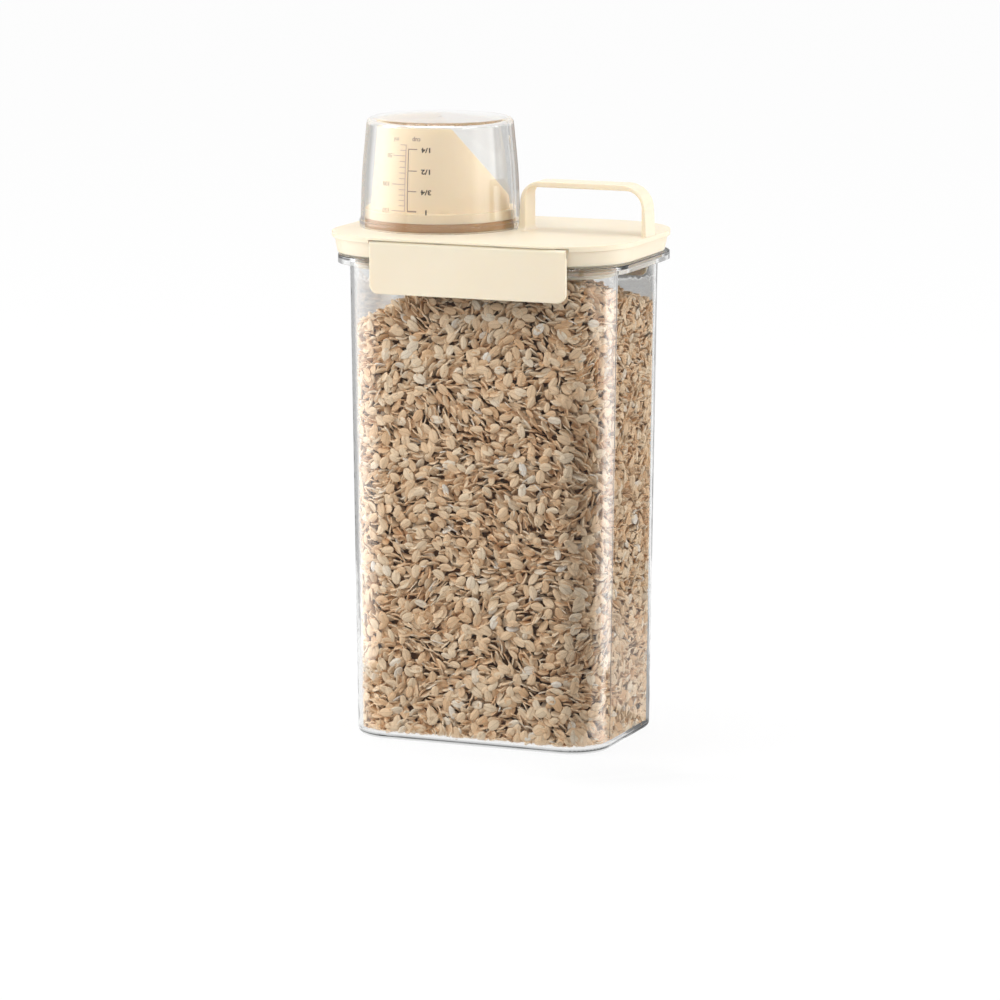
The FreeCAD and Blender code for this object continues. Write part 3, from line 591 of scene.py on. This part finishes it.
ml_ink, cup_ink, line_ink, tick_ink = (bmesh.new() for _ in range(4))
add_spine(line_ink, ML_LEVELS, 0.4)
for volume in range(30, 160, 10):
    reach = LONG_TICK if volume % 50 == 0 else SHORT_TICK
    add_ink_line(line_ink, -reach / 2, ml_level(volume), reach, TICK_THICK, 4)
for volume, middle in ML_FIGURES.items():
    add_ink_text(ml_ink, str(volume), middle, ML_LEVELS[volume], FIGURE_HEIGHT, ML_WEIGHT)
add_ink_text(ml_ink, "ml", -5.6, UNIT_LEVEL, FIGURE_HEIGHT, ML_WEIGHT)
add_spine(tick_ink, CUP_LEVELS, 0.5)
for label, level in CUP_LEVELS.items():
    add_ink_line(tick_ink, CUP_TICK / 2, level, CUP_TICK, LAST_TICK_THICK if label == "1" else LINE_WIDE, 4)
    add_ink_text(cup_ink, label, 9.0, level - 0.2, 2.3, CUP_WEIGHT, CUP_STRETCH)
add_ink_text(tick_ink, "cup", 3.8, UNIT_LEVEL, FIGURE_HEIGHT, UNIT_WEIGHT)
finish_ink(line_ink, "cup_print_ml_line", ML_LINE, ("#B89F94", "#C3ABA0"))
finish_ink(ml_ink, "cup_print_ml_figures", ML_LINE, ("#A39486", "#B0A193"))
finish_ink(tick_ink, "cup_print_cup_line", CUP_LINE, ("#8C766C", "#9A857B"))
finish_ink(cup_ink, "cup_print_cup_figures", CUP_LINE, ("#3F352F", "#52463F"))

# ---------------------------------------------------------------- studio
# A white sweep under even light, soft lamps from the left, the right and above, and cards that only
# the gloss and the clear plastic see: white ones for the corners' bands, dark ones for the flat walls.
SEEN_GLOW = 0.9
WORLD_LIGHT, WORLD_SEEN = 0.84, 1.0
SWEEP_HALF = 6


def seen_rays(tree):
    """1 for the rays that show the white background: camera, glossy and transmission rays."""
    path = add_node(tree, "LightPath")
    seen = add_node(tree, "Math", {
        0: path.outputs["Is Camera Ray"], 1: path.outputs["Is Glossy Ray"]}, operation="MAXIMUM")
    shown = add_node(tree, "Math", {
        0: seen.outputs["Value"], 1: path.outputs["Is Transmission Ray"]}, operation="MAXIMUM")
    return shown.outputs["Value"]


floor_shape = bmesh.new()
bmesh.ops.create_grid(floor_shape, x_segments=1, y_segments=1, size=SWEEP_HALF)
sweep, tree = new_material("white_sweep")
paper = add_node(tree, "BsdfDiffuse", {"Color": linear("#F7F7F7")})
glow = add_node(tree, "Emission", {"Color": linear("#FFFFFF"), "Strength": 1.0})
share = add_node(tree, "Math", {0: seen_rays(tree), 1: SEEN_GLOW}, operation="MULTIPLY")
mix = add_node(tree, "MixShader", {
    0: share.outputs["Value"], 1: paper.outputs["BSDF"], 2: glow.outputs["Emission"]})
add_node(tree, "OutputMaterial", {"Surface": mix.outputs["Shader"]})
floor_mesh = as_mesh(floor_shape, "floor")
floor_mesh.materials.append(sweep)
floor = bpy.data.objects.new("floor", floor_mesh)
bpy.context.scene.collection.objects.link(floor)

world = bpy.data.worlds.new("studio")
bpy.context.scene.world = world
world.use_nodes = True
tree = world.node_tree
tree.nodes.clear()
level = add_node(tree, "MapRange", {"Value": seen_rays(tree), "To Min": WORLD_LIGHT, "To Max": WORLD_SEEN})
sky = add_node(tree, "Background", {"Color": linear("#FFFFFF"), "Strength": level.outputs["Result"]})
add_node(tree, "OutputWorld", {"Surface": sky.outputs["Background"]})


def add_lamp(name, place, target, size, power):
    """A square soft lamp that faces its target."""
    lamp = bpy.data.lights.new(name, "AREA")
    lamp.size, lamp.energy = size, power
    holder = bpy.data.objects.new(name, lamp)
    holder.location = place
    holder.rotation_mode = "QUATERNION"
    holder.rotation_quaternion = (Vector(target) - Vector(place)).to_track_quat("-Z", "Y")
    bpy.context.scene.collection.objects.link(holder)
    return holder


add_lamp("left_key", (-1.6, -0.7, 1.0), (0, 0, 0.15), 1.0, 14.5)
add_lamp("right_fill", (1.5, 0.7, 0.45), (0, 0, 0.12), 0.8, 7.4)
add_lamp("right_key", (1.4, -0.45, 1.0), (0, 0, 0.25), 0.7, 4.6)
add_lamp("overhead", (-0.3, 0.0, 2.0), (0, 0, 0.2), 1.2, 10.5)
edge_light = add_lamp("edge_light", (0.15, -0.4, 1.25), (-0.03, 0, 0.29), 0.5, 7)
edge_light.visible_diffuse = edge_light.visible_transmission = False


def card_mesh(name, centre, half_x, half_y):
    """A flat card given by its middle and half its two sides."""
    shape = bmesh.new()
    shape.loops.layers.uv.new("along")
    bmesh.ops.create_grid(shape, x_segments=1, y_segments=1, size=1, calc_uvs=True)
    half_x, half_y = Vector(half_x), Vector(half_y)
    lay = Matrix((half_x, half_y, half_x.cross(half_y).normalized())).transposed().to_4x4()
    bmesh.ops.transform(shape, matrix=Matrix.Translation(centre) @ lay, verts=shape.verts)
    return as_mesh(shape, name)


def add_card(name, centre, half_x, half_y, tones, strength):
    """A lit card whose tones run along its first side.

    It shows in gloss and through clear plastic, and is clear to light that a matt surface sends.
    """
    material, tree = new_material(name)
    along = add_node(tree, "SeparateXYZ", {"Vector": add_node(tree, "TexCoord").outputs["UV"]})
    tone = ramp(tree, along.outputs["X"], [(position, (grey, grey, grey, 1)) for position, grey in tones])
    face = add_node(tree, "Emission", {"Color": tone, "Strength": strength})
    clear = add_node(tree, "BsdfTransparent")
    bounces = add_node(tree, "LightPath").outputs["Diffuse Depth"]
    scattered = add_node(tree, "Math", {0: bounces, 1: 0.5}, operation="GREATER_THAN")
    mix = add_node(tree, "MixShader", {
        0: scattered.outputs["Value"], 1: face.outputs["Emission"], 2: clear.outputs["BSDF"]})
    add_node(tree, "OutputMaterial", {"Surface": mix.outputs["Shader"]})
    card = bpy.data.objects.new(name, card_mesh(name, centre, half_x, half_y))
    card.data.materials.append(material)
    for ray in ("camera", "diffuse", "shadow"):
        setattr(card, "visible_" + ray, False)
    bpy.context.scene.collection.objects.link(card)


# The right-hand corner mirrors the first two, the left-hand one the third, the cup's right the fourth.
add_card(
    "corner_softbox", (0.199, 0.0705, 0.098), (-0.049, 0.0725, 0), (0, 0, 0.097),
    ((0.0, 0.0), (0.2, 0.8), (0.5, 0.9), (0.85, 0.45), (1.0, 0.25)), 3.6)
add_card(
    "corner_floor_card", (0.137, 0.025, 0.001), (-0.030, 0.044, 0), (-0.062, -0.045, 0),
    ((0.0, 0.0), (0.2, 0.8), (0.42, 0.8), (0.6, 0.1), (1.0, 0.04)), 3.2)
add_card(
    "left_softbox", (-0.228, -0.006, 0.15), (-0.094, 0.221, 0), (0, 0, 0.149),
    ((0.0, 0.12), (0.19, 0.6), (0.34, 1.0), (0.5, 0.8), (0.62, 0.22), (1.0, 0.2)), 2.6)
add_card(
    "cup_softbox", (0.219, 0.035, 0.265), (-0.022, 0.157, 0), (0, 0, 0.055),
    ((0.0, 0.45), (0.2, 0.8), (0.45, 0.7), (0.6, 1.0), (0.7, 0.7), (0.78, 0.9), (1.0, 0.45)), 2.2)
# Dark cards lie on the floor where the flat front and right walls mirror it.
add_card(
    "front_dark_card", (0.225, -0.81, 0.0005), (0.975, 0, 0), (0, 0.75, 0), ((0.0, 0.15), (1.0, 0.15)), 1.0)
add_card(
    "side_dark_card", (0.389, 0.807, 0.0005), (0.316, 0.79, 0), (0.056, -0.022, 0),
    ((0.0, 0.45), (0.12, 0.4), (0.2, 0.06), (1.0, 0.06)), 1.0)
# Grey boards behind show through the clear walls, the lower one below the lid.
add_card(
    "rear_board_low", (-0.151, 0.371, 0.083), (0.2412, 0.0968, 0), (0, 0, 0.082),
    ((0.0, 0.5), (0.367, 0.6), (0.38, 0.82), (0.527, 0.82), (0.54, 0.6), (0.58, 0.68), (1.0, 0.6)), 1.0)
add_card(
    "rear_board_high", (-0.151, 0.371, 0.2325), (0.2412, 0.0968, 0), (0, 0, 0.0665),
    ((0.0, 0.55), (0.367, 0.62), (0.373, 0.85), (0.527, 0.85), (0.533, 0.54), (0.597, 0.5), (0.613, 0.28),
     (0.693, 0.28), (0.715, 0.5), (1.0, 0.5)), 1.0)

# A black flag by the right front corner keeps light off the oats there; nothing mirrors or shows it.
velvet, tree = new_material("black_flag")
path = add_node(tree, "LightPath")
matt_rays = add_node(tree, "Math", {0: path.outputs["Diffuse Depth"], 1: path.outputs["Is Shadow Ray"]})
unseen = add_node(tree, "BsdfTransparent")
black = add_node(tree, "BsdfDiffuse", {"Color": linear("#0A0A0A")})
mix = add_node(tree, "MixShader", {
    0: matt_rays.outputs["Value"], 1: unseen.outputs["BSDF"], 2: black.outputs["BSDF"]})
add_node(tree, "OutputMaterial", {"Surface": mix.outputs["Shader"]})
flag_mesh = card_mesh("black_flag", (0.088, -0.074, 0.1), (0.023, 0.0193, 0), (0, 0, 0.098))
flag = bpy.data.objects.new("black_flag", flag_mesh)
flag.data.materials.append(velvet)
flag.visible_camera = flag.visible_glossy = False
bpy.context.scene.collection.objects.link(flag)

bpy.context.scene.view_settings.view_transform = "Standard"
